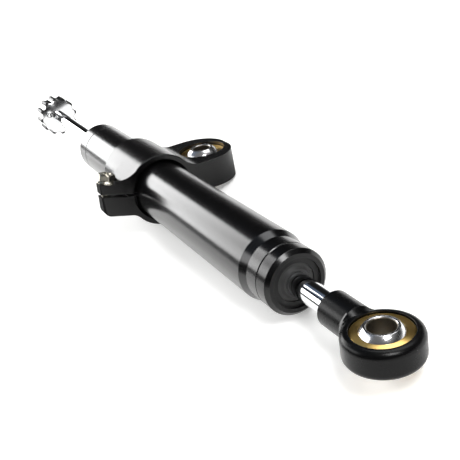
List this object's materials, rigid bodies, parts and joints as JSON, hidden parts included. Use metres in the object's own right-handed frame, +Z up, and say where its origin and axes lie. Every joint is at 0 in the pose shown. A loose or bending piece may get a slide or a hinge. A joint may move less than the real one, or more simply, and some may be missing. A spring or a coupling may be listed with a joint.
{
  "type": "steering damper",
  "caption": "Linear through-rod steering damper: ported piston in a slim tube, rod end with spherical bearing, pinch clamp with bearing lug, fluted adjuster knob.",
  "frame": {"origin": "centre of the rod end's ball", "axes": "+X along the damper towards the rod end, +Y towards the clamp's lug, +Z up along both bearing bores"},
  "size_m": [0.368, 0.07, 0.0324],
  "materials": {
    "black_anodised": "black anodised, satin gloss",
    "clamp_black": "black anodised, satin",
    "rod_end_black": "black, satin",
    "chromed_rod": "polished",
    "bearing_steel": "polished",
    "bearing_brass": "turned",
    "zinc_bolt": "zinc plated",
    "polished_knob": "polished",
    "piston_alloy": "turned",
    "seal_rubber": "matte",
    "guide_bronze": "turned",
    "ring_plastic": "matte",
    "spring_steel": "bright",
    "spindle_steel": "ground"
  },
  "bodies": {
    "barrel": {"cylinder_tube": "black_anodised", "front_cap": "black_anodised", "rear_cap": "black_anodised", "front_wiper": "seal_rubber", "rear_wiper": "seal_rubber", "front_seal": "seal_rubber", "rear_seal": "seal_rubber", "front_bush": "guide_bronze", "rear_bush": "guide_bronze", "cap_orings": "seal_rubber"},
    "slider": {"piston_ring": "ring_plastic"},
    "rod": {"damper_rod": "chromed_rod", "piston": "piston_alloy", "piston_shims": "spring_steel", "piston_clips": "spring_steel", "rod_end_housing": "rod_end_black", "rod_end_race": "bearing_brass", "knob_ring": "spring_steel"},
    "rod_ball": {"rod_end_ball": "bearing_steel"},
    "knob": {"adjuster_knob": "polished_knob", "detent_ball": "bearing_steel", "detent_spring": "spring_steel", "detent_plug": "spring_steel", "metering_spindle": "spindle_steel", "spindle_oring": "seal_rubber"},
    "clamp": {"clamp_body": "clamp_black", "clamp_race": "bearing_brass", "clamp_bolt": "zinc_bolt"},
    "lug_ball": {"clamp_ball": "bearing_steel"}
  },
  "joints": [
    {"name": "rod_slide", "type": "slide", "parent": "barrel", "child": "slider", "axis": [1, 0, 0], "range_m": [-0.0187, 0.0933]},
    {"name": "rod_spin", "type": "hinge", "parent": "slider", "child": "rod", "pos_m": [0, 0, 0], "axis": [1, 0, 0], "continuous": true},
    {"name": "rod_ball_swivel", "type": "hinge", "parent": "rod", "child": "rod_ball", "pos_m": [0, 0, 0], "axis": [0, 0, 1], "continuous": true},
    {"name": "adjuster_turn", "type": "hinge", "parent": "rod", "child": "knob", "pos_m": [-0.3503, 0, 0], "axis": [1, 0, 0], "range_deg": [-90, 90]},
    {"name": "clamp_slide", "type": "slide", "parent": "barrel", "child": "clamp", "axis": [1, 0, 0], "range_m": [-0.04, 0.095]},
    {"name": "lug_ball_swivel", "type": "hinge", "parent": "clamp", "child": "lug_ball", "pos_m": [-0.1765, 0.0286, 0], "axis": [0, 0, 1], "continuous": true}
  ]
}
